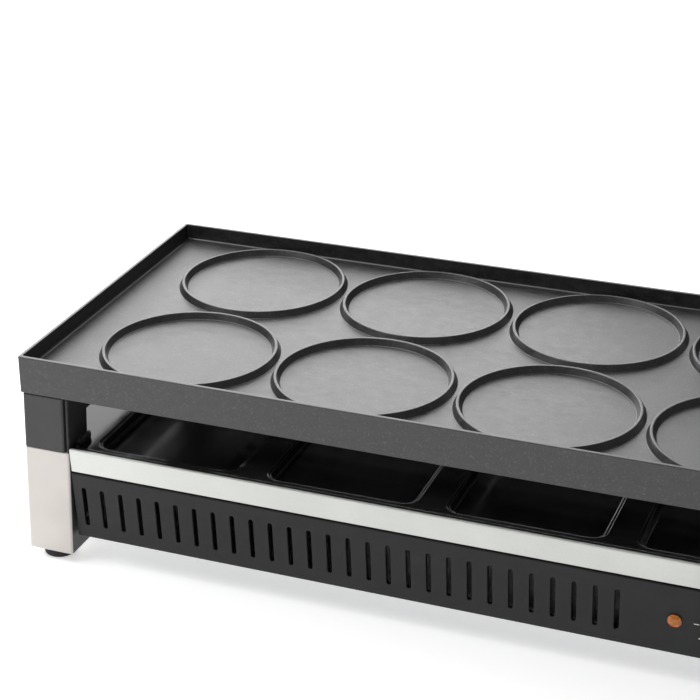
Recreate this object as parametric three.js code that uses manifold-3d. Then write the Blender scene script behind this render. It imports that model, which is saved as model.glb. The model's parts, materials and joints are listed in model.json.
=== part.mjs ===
// Table griddle with pan bays: a lift-off pancake plate on four column legs, a pressed black deck
// with eight bays under it, and a slotted housing that holds the thermostat and wiring.
// Millimetres, +X along the length, +Y to the back, +Z up, standing on z = 0.

import * as THREE from "three";
import { mergeGeometries, mergeVertices } from "three/addons/utils/BufferGeometryUtils.js";
import Module from "manifold-3d";

const wasm = await Module();
wasm.setup();

// ---------------------------------------------------------------- driving dimensions
const GAP = 0.3; // between pieces that touch
const PAST = 1; // how far a cutter runs past the face that it cuts through
const LAP = 0.01; // overlap of two cutters that follow each other

const PLATE_LENGTH = 504;
const PLATE_DEPTH = 232;
const PLATE_TOP_Z = 136.5;
const PLATE_FLOOR_Z = 126.4;
const PLATE_SKIRT_Z = 113.0;
const PLATE_WALL = 2.4;
const PLATE_FLOOR_THICKNESS = 3.2;
const PLATE_COVE = 4; // slope where the rim wall meets the floor
const PLATE_CORNER = 2.5;
const PLATE_INNER_CORNER = 1.2;
const MOULD_PITCH = 112;
const MOULD_RADIUS = 52;
const RING_HEIGHT = 4;
const RING_TOP_WIDTH = 1.4;
const RING_FOOT_WIDTH = 6.6;
const RING_ROOT = 1; // how deep a ring is set into the floor
const RING_SIDES = 36;

const COLUMN_WIDTH = 28.8;
const COLUMN_DEPTH = 25;
const COLUMN_CORNER = 3;
const COLUMN_TOP_Z = PLATE_SKIRT_Z - GAP;
const COLUMN_X = 235.6; // column centre at its top
const COLUMN_Y = 102.9;
const COLUMN_SPLAY = 0.035; // outward lean of the columns per mm of drop
const SPIGOT_X = 236.3;
const SPIGOT_Y = 102.8;
const SPIGOT_WIDTH = 24.6;
const SPIGOT_DEPTH = 19.6;
const SPIGOT_CORNER = 2;
const SPIGOT_HEIGHT = 7.8;
const COLLAR_HEIGHT = 6.7;
const COLLAR_CORNER = 4;
const COLLAR_INNER = [218.9, 86.9]; // its sides towards the middle, X and Y
const COLLAR_OUTER = [240, 105.2]; // its sides inside the column
const FOOT_RADIUS = 10;
const FOOT_HEIGHT = 6;

const DECK_Z = 76.4;
const DECK_SHEET = 1.2;
const BAY_SIZE = 93.5;
const BAY_PITCH = 110.5;
const BAY_DEPTH = 6.3;
const BAY_CORNER = 8;
const BAY_DRAFT = 1.2;
const DECK_RIM_RISE = 2.6; // the deck's raised border above its floor
const DECK_RIM_WIDTH = 2.6;
const DECK_RIM_SLOPE = 3.2;
const DECK_HEM_Z = 70;
const DECK_NOTCH_X = 221.3; // the deck stops here beside the columns
const DECK_HOLE_RADIUS = 6; // where the heating element goes through

const SIDE_LEAN = THREE.MathUtils.degToRad(5); // rails and panels lean inward towards the bottom
const RAIL_TOP_Z = 79.8;
const RAIL_BOTTOM_Z = 64.5;
const RAIL_THICKNESS = 2.4;
const RAIL_EDGE = 0.7; // chamfer of its top outer edge
const RAIL_TO_HEM = 3.6;
const PANEL_TOP_Z = 63.3;
const PANEL_BOTTOM_Z = 18;
const PANEL_THICKNESS = 2.4;
const PANEL_FLANGE = 8;
const PANEL_FLANGE_THICKNESS = 2;
const PANEL_DRAFT = 0.2;
const SLOT_WIDTH = 2.4;
const SLOT_TOP_Z = 53.9;
const SLOT_BOTTOM_Z = 27;
const SLOT_PITCH = 12.17;
const LONG_SLOT_FIRST = -215;
const LONG_SLOT_COUNT = 28;
const END_SLOT_COUNT = 14;
const LONG_OUTER = 115.9; // outermost line of the front and back rails
const END_OUTER = 251.4; // the same for the left and right rails
const RAIL_HALF_LONG = 221.8;
const PANEL_HALF_LONG = 222.4;
const HALF_END = 89.9;
const PANEL_CUT = [-8, 4]; // how far a hole in a panel is cut behind and before its face

const TRAY_Z = PANEL_BOTTOM_Z + PANEL_FLANGE_THICKNESS + GAP;
const TRAY_SHEET = 1.5;
const TRAY_WALL_HEIGHT = 5;
const TRAY_HALF_LONG = 242;
const TRAY_HALF_DEEP = 107;
const TRAY_NOTCH = [222, 89.4];
const TRAY_VENT_COLUMNS = [-150, -100, -50, 0, 50];
const TRAY_VENT_ROWS = [-50, 50];
const TRAY_VENT_LENGTH = 36;
const TRAY_VENT_WIDTH = 4;
const TRAY_SCREW_X = 200;
const TRAY_SCREW_Y = 103.5;
const SCREW_RADIUS = 1.5;
const SCREW_HOLE_RADIUS = 1.9;
const SCREW_HEAD_RADIUS = 3.2;
const SCREW_HEAD_HEIGHT = 2;

const ELEMENT_RADIUS = 3.6;
const ELEMENT_Z = 118.2;
const ELEMENT_RUN_Y = 76; // outer runs; the inner runs are at a third of this
const ELEMENT_LEFT_X = -190;
const ELEMENT_RIGHT_X = 176;
const ELEMENT_END_X = 228;
const ELEMENT_END_Z = 60;
const ELEMENT_BEND = 12;
const BRACKET_Z = 113;
const BRACKET_THICKNESS = 1.3;
const BRACKET_HALF_WIDTH = 36; // the tongues under the element's inner runs
const LEFT_BRACKET_X = [-223.6, -208, -168]; // outer edge, inner edge, end of its tongue
const LEFT_BRACKET_HALF_Y = 106;
const RIGHT_BRACKET_X = [150, 238];
const TAB_THICKNESS = 1.3;
const TAB_Y = 100;
const TAB_HALF_WIDTH = 6;
const TAB_TOP_Z = 120;
const TIE_HALF_LENGTH = 84;
const TIE_DEPTH = 5; // below the element's centre line
const TIE_THICKNESS = 1.6;
const CLAMP_LEFT_X = -178;
const CLAMP_RIGHT_X = 162;
const CLAMP_STRIP = 1;
const CLAMP_WIDTH = 10;
const CLAMP_FOOT = 6;

const HOUSING_X = [214.5, 239.5];
const HOUSING_HALF_Y = 86;
const HOUSING_TOP_Z = 112.4;
const HOUSING_WALL = 2;
const HOUSING_CORNER = 3;
const HOUSING_HOLE_RADIUS = 6.5;
const HOUSING_HOLE_SHIFT = -2; // the bent rod comes through a little towards the middle

const CONTROL_X = 176;
const CONTROL_Z = 41;
const DIAL_RADIUS = 15;
const DIAL_STANDOFF = 1;
const DIAL_BASE_HEIGHT = 5;
const DIAL_HEIGHT = 13.5;
const GRIP_WIDTH = 7;
const GRIP_LENGTH = 2 * DIAL_RADIUS - 3;
const GRIP_CORNER = 3;
const SPINDLE_RADIUS = 3;
const SPINDLE_HOLE_RADIUS = 3.6;
const SPINDLE_LENGTH = [-14, 10]; // behind and before the panel's face
const THERMOSTAT_BOX = [-17, 17, -12, 16, -22, -2.8]; // about the spindle, z out of the panel
const LENS_X = 146;
const LENS_RADIUS = 3;
const INLET_WIDTH = 27;
const INLET_HEIGHT = 20;
const INLET_DEPTH = 20;
const INLET_WALL = 2;
const INLET_FLOOR = 3;
const BEZEL_MARGIN = 2.5;
const BEZEL_THICKNESS = 2;
const BEZEL_CORNER = 3;
const PIN_SPACING = 7;
const PIN_STAGGER = 2;
const PIN_HALF_WIDTH = 1;
const PIN_HALF_HEIGHT = 2;
const PIN_TAIL = 4; // behind the inlet's back
const PIN_TIP = -3.5; // before it, measured from the panel's face

const controlInset = (RAIL_TOP_Z - CONTROL_Z) * Math.tan(SIDE_LEAN);
// The dial stands out at the front only, so the whole is moved back to centre its outline.
const DIAL_REACH =
  LONG_OUTER -
  controlInset +
  (DIAL_STANDOFF + DIAL_HEIGHT) * Math.cos(SIDE_LEAN) +
  (GRIP_LENGTH / 2) * Math.sin(SIDE_LEAN);
const CENTRE_SHIFT_Y = (DIAL_REACH - PLATE_DEPTH / 2) / 2;

// ---------------------------------------------------------------- materials
const material = (color, roughness, metalness) =>
  new THREE.MeshStandardMaterial({ color, roughness, metalness });
const castCoating = material(0x3a3a3c, 0.55, 0.2);
const blackEnamel = material(0x0b0b0c, 0.12, 0.0);
const silverPaint = material(0xdedcd8, 0.35, 0.3);
const silverStrip = material(0xe4e6e2, 0.25, 0.4);
const darkPlastic = material(0x2c2d2e, 0.55, 0.0);
const ventPlastic = material(0x434446, 0.5, 0.0);
const rubber = material(0x151515, 0.9, 0.0);
const sheetSteel = material(0xa8aaac, 0.4, 0.9);
const elementSteel = material(0x5b5a58, 0.45, 0.9);
const zincSteel = material(0xb8bbbd, 0.3, 1.0);
const brass = material(0xb59a55, 0.3, 1.0);
const ceramic = material(0xe8e4da, 0.6, 0.0);
const amberLens = material(0xd8601c, 0.15, 0.0);
const wireColours = {
  live: material(0x6b3d20, 0.5, 0.0),
  neutral: material(0x2c54a0, 0.5, 0.0),
  earth: material(0x4f8a34, 0.5, 0.0),
  load: material(0x1c1c1c, 0.5, 0.0),
};

// ---------------------------------------------------------------- helpers
function bare(geometry) {
  const plain = geometry.index ? geometry.toNonIndexed() : geometry.clone();
  plain.deleteAttribute("normal");
  plain.deleteAttribute("uv");
  return plain;
}

function solid(geometry) {
  const merged = mergeVertices(bare(geometry), 1e-4);
  return new wasm.Manifold(
    new wasm.Mesh({
      numProp: 3,
      vertProperties: merged.attributes.position.array,
      triVerts: new Uint32Array(merged.index.array),
    }),
  );
}

function geometryOf(manifold) {
  const made = manifold.getMesh();
  const geometry = new THREE.BufferGeometry();
  const positions = new THREE.BufferAttribute(new Float32Array(made.vertProperties), 3);
  geometry.setAttribute("position", positions);
  geometry.setIndex(new THREE.BufferAttribute(new Uint32Array(made.triVerts), 1));
  geometry.computeVertexNormals();
  return geometry;
}

// Joins the added geometries into one body, then takes the cut ones away.
function carve(added, cut = []) {
  let body = solid(added[0]);
  for (const more of added.slice(1)) body = body.add(solid(more));
  for (const less of cut) body = body.subtract(solid(less));
  return geometryOf(body);
}

function box(x0, x1, y0, y1, z0, z1) {
  const geometry = new THREE.BoxGeometry(x1 - x0, y1 - y0, z1 - z0);
  return geometry.translate((x0 + x1) / 2, (y0 + y1) / 2, (z0 + z1) / 2);
}

function cylinder(x, y, z0, z1, radius, sides = 16) {
  const geometry = new THREE.CylinderGeometry(radius, radius, z1 - z0, sides);
  return geometry.rotateX(Math.PI / 2).translate(x, y, (z0 + z1) / 2);
}

function prism(shape, z0, z1, curveSegments = 3) {
  const options = { depth: z1 - z0, bevelEnabled: false, curveSegments };
  return new THREE.ExtrudeGeometry(shape, options).translate(0, 0, z0);
}

function polygon(points) {
  return new THREE.Shape(points.map(([x, y]) => new THREE.Vector2(x, y)));
}

function roundedRectangle(cx, cy, width, height, radius) {
  const [x, y] = [width / 2 - radius, height / 2 - radius];
  const shape = new THREE.Shape();
  shape.absarc(cx + x, cy + y, radius, 0, Math.PI / 2);
  shape.absarc(cx - x, cy + y, radius, Math.PI / 2, Math.PI);
  shape.absarc(cx - x, cy - y, radius, Math.PI, 1.5 * Math.PI);
  shape.absarc(cx + x, cy - y, radius, 1.5 * Math.PI, 2 * Math.PI);
  return shape;
}

// A rounded rectangle from z0 up to z1 that is smaller by the draft, all round, at its bottom.
function draftedPocket(cx, cy, width, height, radius, z0, z1, draft) {
  const geometry = prism(roundedRectangle(cx, cy, width, height, radius), z0, z1, 2);
  const position = geometry.attributes.position;
  for (let i = 0; i < position.count; i++) {
    if (Math.abs(position.getZ(i) - z0) > 1e-3) continue;
    position.setX(i, cx + (position.getX(i) - cx) * (1 - (2 * draft) / width));
    position.setY(i, cy + (position.getY(i) - cy) * (1 - (2 * draft) / height));
  }
  return geometry;
}

// Rectangle with its four corners cut out square: the plan of everything between the columns.
function notchedPlan(halfX, halfY, notchX, notchY) {
  const quarter = [
    [halfX, notchY],
    [notchX, notchY],
    [notchX, halfY],
  ];
  return polygon([
    ...quarter,
    ...quarter.map(([x, y]) => [-x, y]).reverse(),
    ...quarter.map(([x, y]) => [-x, -y]),
    ...quarter.map(([x, y]) => [x, -y]).reverse(),
  ]);
}

const BACKWARD = new THREE.Vector3(0, 1, 0);
const UPWARD = new THREE.Vector3(0, 0, 1);
const RIGHTWARD = new THREE.Vector3(1, 0, 0);

// A section of (inward distance, height) points run along one side of the housing.
// turn 0 is the front, 1 the right, 2 the back and 3 the left.
function sideStrip(points, halfLength, outer, turn) {
  const options = { depth: 2 * halfLength, bevelEnabled: false };
  const geometry = new THREE.ExtrudeGeometry(polygon(points), options);
  geometry.applyMatrix4(new THREE.Matrix4().makeBasis(BACKWARD, UPWARD, RIGHTWARD));
  return geometry.translate(-halfLength, -outer, 0).rotateZ((turn * Math.PI) / 2);
}

const leanAt = (z) => (RAIL_TOP_Z - z) * Math.tan(SIDE_LEAN);

// A rod's centre line through given points, with the section turned evenly at each of them.
class RodPath extends THREE.Curve {
  constructor(points) {
    super();
    this.points = points;
  }
  getPoint(t, target = new THREE.Vector3()) {
    const last = this.points.length - 1;
    const i = Math.min(Math.floor(t * last + 1e-9), last - 1);
    return target.lerpVectors(this.points[i], this.points[i + 1], t * last - i);
  }
  getTangent(t, target = new THREE.Vector3()) {
    const last = this.points.length - 1;
    const i = Math.round(t * last);
    const here = this.points[i];
    const before = here.clone().sub(this.points[Math.max(i - 1, 0)]).normalize();
    const after = this.points[Math.min(i + 1, last)].clone().sub(here).normalize();
    return target.copy(before).add(after).normalize();
  }
  getUtoTmapping(u) {
    return u;
  }
}

function rod(points, radius, sides) {
  const section = new THREE.Shape();
  for (let i = 0; i < sides; i++) {
    const angle = (2 * Math.PI * i) / sides;
    const [x, y] = [radius * Math.cos(angle), radius * Math.sin(angle)];
    if (i === 0) section.moveTo(x, y);
    else section.lineTo(x, y);
  }
  const extrudePath = new RodPath(points);
  return new THREE.ExtrudeGeometry(section, { steps: points.length - 1, extrudePath });
}

const griddle = new THREE.Group();
griddle.position.y = CENTRE_SHIFT_Y;

function put(name, geometry, look, parent = griddle) {
  const mesh = new THREE.Mesh(geometry, look);
  mesh.name = name;
  parent.add(mesh);
  return mesh;
}

// Places of the moulds and the bays, in pitches from the middle.
const COLUMNS_OF_FOUR = [-1.5, -0.5, 0.5, 1.5];
const TWO_ROWS = [-0.5, 0.5];

const CORNERS = [
  ["front_left", -1, -1],
  ["front_right", 1, -1],
  ["back_left", -1, 1],
  ["back_right", 1, 1],
];

// ---------------------------------------------------------------- griddle plate
function mouldRing(x, y) {
  const foot = RING_FOOT_WIDTH / 2;
  const top = RING_TOP_WIDTH / 2;
  const profile = [
    [-foot, -RING_ROOT],
    [foot, -RING_ROOT],
    [foot, 0],
    [top, RING_HEIGHT],
    [-top, RING_HEIGHT],
    [-foot, 0],
    [-foot, -RING_ROOT],
  ].map(([r, z]) => new THREE.Vector2(MOULD_RADIUS + r, z));
  const ring = new THREE.LatheGeometry(profile, RING_SIDES).rotateX(Math.PI / 2);
  return ring.translate(x, y, PLATE_FLOOR_Z);
}

function griddlePlate() {
  const [x, y] = [PLATE_LENGTH / 2 - PLATE_WALL, PLATE_DEPTH / 2 - PLATE_WALL];
  const coveZ = PLATE_FLOOR_Z + PLATE_COVE;
  const body = roundedRectangle(0, 0, PLATE_LENGTH, PLATE_DEPTH, PLATE_CORNER);
  const inside = [0, 0, 2 * x, 2 * y, PLATE_INNER_CORNER];
  const under = PLATE_FLOOR_Z - PLATE_FLOOR_THICKNESS;
  const cuts = [
    draftedPocket(...inside, PLATE_FLOOR_Z, coveZ, PLATE_COVE),
    prism(roundedRectangle(...inside), coveZ - LAP, PLATE_TOP_Z + PAST, 2),
    box(-x, x, -y, y, PLATE_SKIRT_Z - PAST, under),
  ];
  let plate = solid(prism(body, PLATE_SKIRT_Z, PLATE_TOP_Z));
  for (const cut of cuts) plate = plate.subtract(solid(cut));
  for (const column of COLUMNS_OF_FOUR)
    for (const row of TWO_ROWS)
      plate = plate.add(solid(mouldRing(column * MOULD_PITCH, row * MOULD_PITCH)));
  return geometryOf(plate);
}
put("griddle_plate", griddlePlate(), castCoating);

// ---------------------------------------------------------------- columns
// Everything on a column leans outward with it.
function splay(geometry, side) {
  const lean = new THREE.Matrix4().makeShear(0, 0, 0, 0, -side * COLUMN_SPLAY, 0);
  geometry.translate(0, 0, -COLUMN_TOP_Z);
  return geometry.applyMatrix4(lean).translate(0, 0, COLUMN_TOP_Z);
}

function column(sx, sy, z0, z1) {
  const plan = [sx * COLUMN_X, sy * COLUMN_Y, COLUMN_WIDTH, COLUMN_DEPTH, COLUMN_CORNER];
  return splay(prism(roundedRectangle(...plan), z0, z1), sx);
}

// The block has a spigot that keeps the plate from sliding and a collar that stands on the deck.
function cornerBlock(sx, sy) {
  const [spigotX, spigotY] = [sx * SPIGOT_X, sy * SPIGOT_Y];
  const spigot = prism(
    roundedRectangle(spigotX, spigotY, SPIGOT_WIDTH, SPIGOT_DEPTH, SPIGOT_CORNER),
    COLUMN_TOP_Z - PAST,
    COLUMN_TOP_Z + SPIGOT_HEIGHT,
    2,
  );
  const [innerX, innerY] = COLLAR_INNER;
  const [outerX, outerY] = COLLAR_OUTER;
  const [middleX, middleY] = [(sx * (innerX + outerX)) / 2, (sy * (innerY + outerY)) / 2];
  const collar = prism(
    roundedRectangle(middleX, middleY, outerX - innerX, outerY - innerY, COLLAR_CORNER),
    DECK_Z + GAP,
    DECK_Z + COLLAR_HEIGHT,
  );
  return carve([column(sx, sy, DECK_Z + GAP, COLUMN_TOP_Z), spigot, collar]);
}

for (const [corner, sx, sy] of CORNERS) {
  const footX = sx * (COLUMN_X + COLUMN_SPLAY * COLUMN_TOP_Z);
  put("corner_block_" + corner, cornerBlock(sx, sy), darkPlastic);
  put("leg_" + corner, column(sx, sy, FOOT_HEIGHT + GAP, DECK_Z), silverPaint);
  const foot = cylinder(footX, sy * COLUMN_Y, 0, FOOT_HEIGHT, FOOT_RADIUS, 20);
  put("rubber_foot_" + corner, foot, rubber);
}

// ---------------------------------------------------------------- deck with pan bays
function deck() {
  const hem = RAIL_TO_HEM;
  const rimZ = DECK_Z + DECK_RIM_RISE;
  const rimEnd = hem + DECK_RIM_WIDTH;
  const slopeEnd = rimEnd + DECK_RIM_SLOPE;
  const rim = [
    [hem, DECK_HEM_Z],
    [hem + DECK_SHEET, DECK_HEM_Z],
    [hem + DECK_SHEET, rimZ - DECK_SHEET],
    [rimEnd - DECK_SHEET / 2, rimZ - DECK_SHEET],
    [slopeEnd - DECK_SHEET / 2, DECK_Z - DECK_SHEET],
    [slopeEnd + PAST, DECK_Z - DECK_SHEET],
    [slopeEnd + PAST, DECK_Z],
    [slopeEnd, DECK_Z],
    [rimEnd, rimZ],
    [hem, rimZ],
  ];
  const [planX, planY] = [END_OUTER - slopeEnd, LONG_OUTER - slopeEnd];
  const plan = notchedPlan(planX, planY, DECK_NOTCH_X, HALF_END);
  const parts = [prism(plan, DECK_Z - DECK_SHEET, DECK_Z)];
  for (const turn of [0, 2]) parts.push(sideStrip(rim, DECK_NOTCH_X, LONG_OUTER, turn));
  for (const turn of [1, 3]) parts.push(sideStrip(rim, HALF_END, END_OUTER, turn));
  const cuts = [];
  const floorZ = DECK_Z - BAY_DEPTH;
  const outerSize = BAY_SIZE + 2 * DECK_SHEET;
  const underZ = floorZ - DECK_SHEET;
  for (const i of COLUMNS_OF_FOUR) {
    for (const j of TWO_ROWS) {
      const at = [i * BAY_PITCH, j * BAY_PITCH];
      const pan = [...at, outerSize, outerSize, BAY_CORNER];
      const hollow = [...at, BAY_SIZE, BAY_SIZE, BAY_CORNER];
      parts.push(draftedPocket(...pan, underZ, DECK_Z, BAY_DRAFT));
      cuts.push(draftedPocket(...hollow, floorZ, DECK_Z + PAST / 2, BAY_DRAFT));
    }
  }
  for (const side of [-1, 1]) {
    const at = [ELEMENT_END_X, side * ELEMENT_RUN_Y];
    cuts.push(cylinder(...at, DECK_Z - DECK_SHEET - PAST, DECK_Z + PAST, DECK_HOLE_RADIUS));
  }
  return carve(parts, cuts);
}
put("deck", deck(), blackEnamel);

// ---------------------------------------------------------------- rails and slotted panels
function rail(halfLength, outer, turn) {
  const [top, bottom] = [leanAt(RAIL_TOP_Z), leanAt(RAIL_BOTTOM_Z)];
  const section = [
    [top, RAIL_TOP_Z - RAIL_EDGE],
    [bottom, RAIL_BOTTOM_Z],
    [bottom + RAIL_THICKNESS, RAIL_BOTTOM_Z],
    [top + RAIL_THICKNESS, RAIL_TOP_Z],
    [top + RAIL_EDGE, RAIL_TOP_Z],
  ];
  return sideStrip(section, halfLength, outer, turn);
}

function slots(centres, outer, turn) {
  const end = SLOT_WIDTH / 2;
  const cutters = centres.map((x) => {
    const shape = new THREE.Shape();
    shape.absarc(x, SLOT_TOP_Z - end, end, 0, Math.PI);
    shape.absarc(x, SLOT_BOTTOM_Z + end, end, Math.PI, 2 * Math.PI);
    return bare(prism(shape, -PANEL_FLANGE, PANEL_FLANGE, 2));
  });
  const all = mergeGeometries(cutters).rotateX(Math.PI / 2);
  return all.translate(0, -outer + PANEL_FLANGE / 2, 0).rotateZ((turn * Math.PI) / 2);
}

function ventPanel(halfLength, outer, turn, centres, openings) {
  const [top, bottom] = [leanAt(PANEL_TOP_Z), leanAt(PANEL_BOTTOM_Z)];
  const inner = bottom + PANEL_FLANGE;
  const lowFlange = PANEL_BOTTOM_Z + PANEL_FLANGE_THICKNESS;
  const highFlange = PANEL_TOP_Z - PANEL_FLANGE_THICKNESS;
  const section = [
    [top, PANEL_TOP_Z],
    [bottom, PANEL_BOTTOM_Z],
    [inner, PANEL_BOTTOM_Z],
    [inner, lowFlange],
    [bottom + PANEL_THICKNESS - PANEL_DRAFT, lowFlange],
    [top + PANEL_THICKNESS + PANEL_DRAFT, highFlange],
    [top + PANEL_FLANGE, highFlange],
    [top + PANEL_FLANGE, PANEL_TOP_Z],
  ];
  return carve(
    [sideStrip(section, halfLength, outer, turn)],
    [slots(centres, outer, turn), ...openings],
  );
}

const longSlots = Array.from(
  { length: LONG_SLOT_COUNT },
  (_, i) => LONG_SLOT_FIRST + i * SLOT_PITCH,
);
const endSlots = Array.from(
  { length: END_SLOT_COUNT },
  (_, i) => (i - (END_SLOT_COUNT - 1) / 2) * SLOT_PITCH,
);

// Puts a geometry made on local +Z at a point of the front (side -1) or back (side 1) panel's face.
function ontoPanel(geometry, x, side) {
  const y = side * (LONG_OUTER - leanAt(CONTROL_Z));
  return geometry.rotateX(-side * (Math.PI / 2 + SIDE_LEAN)).translate(x, y, CONTROL_Z);
}

const screwHoles = (sy) =>
  [-1, 1].map((sx) => {
    const at = [sx * TRAY_SCREW_X, sy * TRAY_SCREW_Y];
    return cylinder(...at, PANEL_BOTTOM_Z - PAST, TRAY_Z + TRAY_SHEET + PAST, SCREW_HOLE_RADIUS, 12);
  });

put("front_rail", rail(RAIL_HALF_LONG, LONG_OUTER, 0), silverStrip);
put("right_rail", rail(HALF_END, END_OUTER, 1), silverStrip);
put("back_rail", rail(RAIL_HALF_LONG, LONG_OUTER, 2), silverStrip);
put("left_rail", rail(HALF_END, END_OUTER, 3), silverStrip);

const spindleHole = ontoPanel(cylinder(0, 0, ...PANEL_CUT, SPINDLE_HOLE_RADIUS), CONTROL_X, -1);
const lensHole = ontoPanel(cylinder(0, 0, ...PANEL_CUT, LENS_RADIUS + GAP), LENS_X, -1);
const [cutX, cutY] = [INLET_WIDTH / 2 + GAP, INLET_HEIGHT / 2 + GAP];
const inletHole = ontoPanel(box(-cutX, cutX, -cutY, cutY, ...PANEL_CUT), CONTROL_X, 1);
put(
  "front_vent_panel",
  ventPanel(PANEL_HALF_LONG, LONG_OUTER, 0, longSlots, [
    spindleHole,
    lensHole,
    ...screwHoles(-1),
  ]),
  ventPlastic,
);
put("right_vent_panel", ventPanel(HALF_END, END_OUTER, 1, endSlots, []), ventPlastic);
put(
  "back_vent_panel",
  ventPanel(PANEL_HALF_LONG, LONG_OUTER, 2, longSlots.map((x) => -x), [
    inletHole,
    ...screwHoles(1),
  ]),
  ventPlastic,
);
put("left_vent_panel", ventPanel(HALF_END, END_OUTER, 3, endSlots, []), ventPlastic);

// ---------------------------------------------------------------- bottom tray and its screws
function baseTray() {
  const corners = [TRAY_HALF_LONG, TRAY_HALF_DEEP, ...TRAY_NOTCH];
  const outer = notchedPlan(...corners);
  const inner = notchedPlan(...corners.map((size) => size - TRAY_SHEET));
  const cuts = [prism(inner, TRAY_Z + TRAY_SHEET, TRAY_Z + TRAY_WALL_HEIGHT + PAST)];
  const [length, width] = [TRAY_VENT_LENGTH / 2, TRAY_VENT_WIDTH / 2];
  for (const x of TRAY_VENT_COLUMNS)
    for (const y of TRAY_VENT_ROWS) {
      const plan = [x - length, x + length, y - width, y + width];
      cuts.push(box(...plan, TRAY_Z - PAST, TRAY_Z + TRAY_SHEET + PAST));
    }
  return carve(
    [prism(outer, TRAY_Z, TRAY_Z + TRAY_WALL_HEIGHT)],
    [...cuts, ...screwHoles(-1), ...screwHoles(1)],
  );
}
put("base_tray", baseTray(), sheetSteel);

for (const [corner, sx, sy] of CORNERS) {
  const [x, y] = [sx * TRAY_SCREW_X, sy * TRAY_SCREW_Y];
  const headZ = PANEL_BOTTOM_Z - SCREW_HEAD_HEIGHT;
  const head = cylinder(x, y, headZ, PANEL_BOTTOM_Z - GAP, SCREW_HEAD_RADIUS, 12);
  const shank = cylinder(x, y, headZ + 1, TRAY_Z + TRAY_SHEET + 2, SCREW_RADIUS, 10);
  put("tray_screw_" + corner, carve([head, shank]), zincSteel);
}

// ---------------------------------------------------------------- heating element and its supports
function arcPoints(cx, cy, radius, from, to, count) {
  return Array.from({ length: count + 1 }, (_, i) => {
    const angle = from + ((to - from) * i) / count;
    const [x, y] = [cx + radius * Math.cos(angle), cy + radius * Math.sin(angle)];
    return new THREE.Vector3(x, y, ELEMENT_Z);
  });
}

// Half the path, from the cold end up, round the outer run and back along the inner one.
function elementHalf(side) {
  const straight = ELEMENT_END_X - ELEMENT_BEND;
  const points = [new THREE.Vector3(ELEMENT_END_X, side * ELEMENT_RUN_Y, ELEMENT_END_Z)];
  for (let i = 0; i <= 3; i++) {
    const angle = (Math.PI / 6) * i;
    const x = straight + ELEMENT_BEND * Math.cos(angle);
    const z = ELEMENT_Z - ELEMENT_BEND + ELEMENT_BEND * Math.sin(angle);
    points.push(new THREE.Vector3(x, side * ELEMENT_RUN_Y, z));
  }
  const turn = ELEMENT_RUN_Y / 3;
  const half = Math.PI / 2;
  const left = [ELEMENT_LEFT_X, side * 2 * turn];
  points.push(...arcPoints(...left, turn, side * half, side * 3 * half, 8));
  points.push(...arcPoints(ELEMENT_RIGHT_X, 0, turn, side * half, 0, 4));
  return points;
}

const frontHalf = elementHalf(-1);
const backHalf = elementHalf(1).reverse().slice(1);
put("heating_element", rod([...frontHalf, ...backHalf], ELEMENT_RADIUS, 8), elementSteel);

const bracketTop = BRACKET_Z + BRACKET_THICKNESS;
const [bracketOuter, bracketInner, tongueEnd] = LEFT_BRACKET_X;
const leftBracketPlan = polygon([
  [bracketOuter, -LEFT_BRACKET_HALF_Y],
  [bracketInner, -LEFT_BRACKET_HALF_Y],
  [bracketInner, -BRACKET_HALF_WIDTH],
  [tongueEnd, -BRACKET_HALF_WIDTH],
  [tongueEnd, BRACKET_HALF_WIDTH],
  [bracketInner, BRACKET_HALF_WIDTH],
  [bracketInner, LEFT_BRACKET_HALF_Y],
  [bracketOuter, LEFT_BRACKET_HALF_Y],
]);
const tabs = [-TAB_Y, TAB_Y].map((y) => {
  const plan = [bracketOuter, bracketOuter + TAB_THICKNESS, y - TAB_HALF_WIDTH, y + TAB_HALF_WIDTH];
  return box(...plan, BRACKET_Z, TAB_TOP_Z);
});
const leftBracket = carve([prism(leftBracketPlan, BRACKET_Z, bracketTop), ...tabs]);
put("element_bracket_left", leftBracket, zincSteel);
const rightPlan = [...RIGHT_BRACKET_X, -BRACKET_HALF_WIDTH, BRACKET_HALF_WIDTH];
put("element_bracket_right", box(...rightPlan, BRACKET_Z, bracketTop), zincSteel);

// A comb on edge under the four runs keeps their spacing.
function elementTie() {
  const low = ELEMENT_Z - TIE_DEPTH;
  const shape = new THREE.Shape();
  shape.moveTo(-TIE_HALF_LENGTH, low);
  shape.lineTo(TIE_HALF_LENGTH, low);
  shape.lineTo(TIE_HALF_LENGTH, ELEMENT_Z);
  for (const y of [1, 1 / 3, -1 / 3, -1])
    shape.absarc(y * ELEMENT_RUN_Y, ELEMENT_Z, ELEMENT_RADIUS + GAP, 0, Math.PI, true);
  shape.lineTo(-TIE_HALF_LENGTH, ELEMENT_Z);
  const comb = prism(shape, -TIE_THICKNESS / 2, TIE_THICKNESS / 2, 6);
  return comb.applyMatrix4(new THREE.Matrix4().makeBasis(BACKWARD, UPWARD, RIGHTWARD));
}
put("element_tie", elementTie(), zincSteel);

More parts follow.
